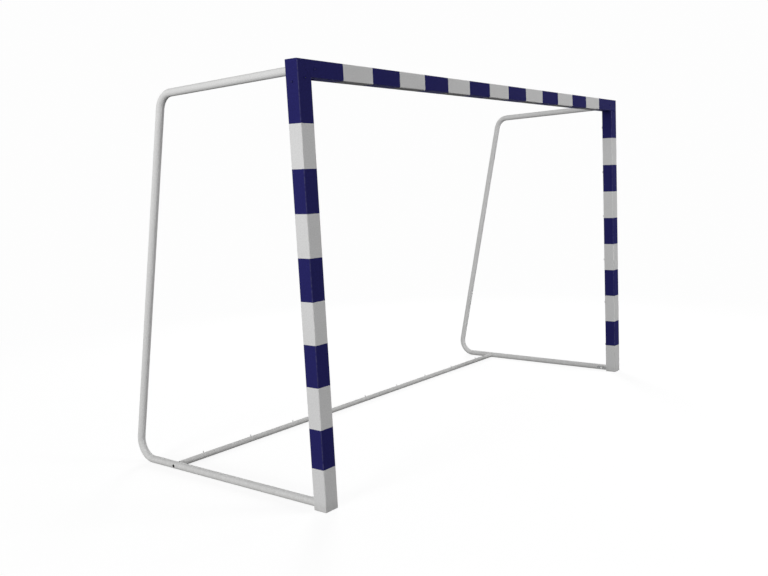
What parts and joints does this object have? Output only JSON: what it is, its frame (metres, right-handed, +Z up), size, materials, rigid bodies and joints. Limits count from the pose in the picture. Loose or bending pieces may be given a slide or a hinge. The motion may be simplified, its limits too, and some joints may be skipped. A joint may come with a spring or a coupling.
{
  "type": "mini soccer goal",
  "caption": "Free-standing small goal: square-tube posts and crossbar painted in blue and white bands, bent round-tube side frames, a rear ground bar and welded net hooks, without its net.",
  "frame": {"origin": "middle of the footprint, on the ground that the goal stands on", "axes": "+X along the crossbar, to the right as seen from in front; +Y from the mouth towards the back; +Z up"},
  "size_m": [3.1694, 1.5214, 2.08],
  "materials": {
    "band_paint": "satin powder coat, white with blue bands of [0.020, 0.018, 0.120]",
    "foot_paint": "satin white powder coat",
    "screw_paint": "satin blue paint",
    "tube_paint": "satin white powder coat",
    "bright_zinc": "bright zinc plate",
    "dull_zinc": "dull hot-dip zinc",
    "bare_steel": "bare mill finish",
    "black_oxide": "black oxide, oiled"
  },
  "bodies": {
    "root": {"crossbar": "band_paint", "left_post": "band_paint", "right_post": "band_paint", "left_foot_plate": "foot_paint", "right_foot_plate": "foot_paint", "left_corner_angle": "bare_steel", "right_corner_angle": "bare_steel", "left_post_front_screw": "screw_paint", "left_post_side_screw": "screw_paint", "left_crossbar_front_screw": "screw_paint", "left_crossbar_under_screw": "screw_paint", "right_post_front_screw": "screw_paint", "right_post_side_screw": "screw_paint", "right_crossbar_front_screw": "screw_paint", "right_crossbar_under_screw": "screw_paint", "left_post_front_nut": "bare_steel", "left_post_side_nut": "bare_steel", "left_crossbar_front_nut": "bare_steel", "left_crossbar_under_nut": "bare_steel", "right_post_front_nut": "bare_steel", "right_post_side_nut": "bare_steel", "right_crossbar_front_nut": "bare_steel", "right_crossbar_under_nut": "bare_steel", "left_side_frame": "tube_paint", "right_side_frame": "tube_paint", "left_upper_lug": "dull_zinc", "left_lower_lug": "dull_zinc", "right_upper_lug": "dull_zinc", "right_lower_lug": "dull_zinc", "left_upper_lug_bolt": "bright_zinc", "left_lower_lug_bolt": "bright_zinc", "right_upper_lug_bolt": "bright_zinc", "right_lower_lug_bolt": "bright_zinc", "left_upper_lug_washer": "bright_zinc", "left_lower_lug_washer": "bright_zinc", "right_upper_lug_washer": "bright_zinc", "right_lower_lug_washer": "bright_zinc", "left_upper_rivet_nut": "bright_zinc", "left_lower_rivet_nut": "bright_zinc", "right_upper_rivet_nut": "bright_zinc", "right_lower_rivet_nut": "bright_zinc", "rear_ground_bar": "tube_paint", "left_bar_plug": "bright_zinc", "right_bar_plug": "bright_zinc", "left_bar_screw": "black_oxide", "right_bar_screw": "black_oxide", "left_bar_washer": "black_oxide", "right_bar_washer": "black_oxide"}
  },
  "joints": []
}
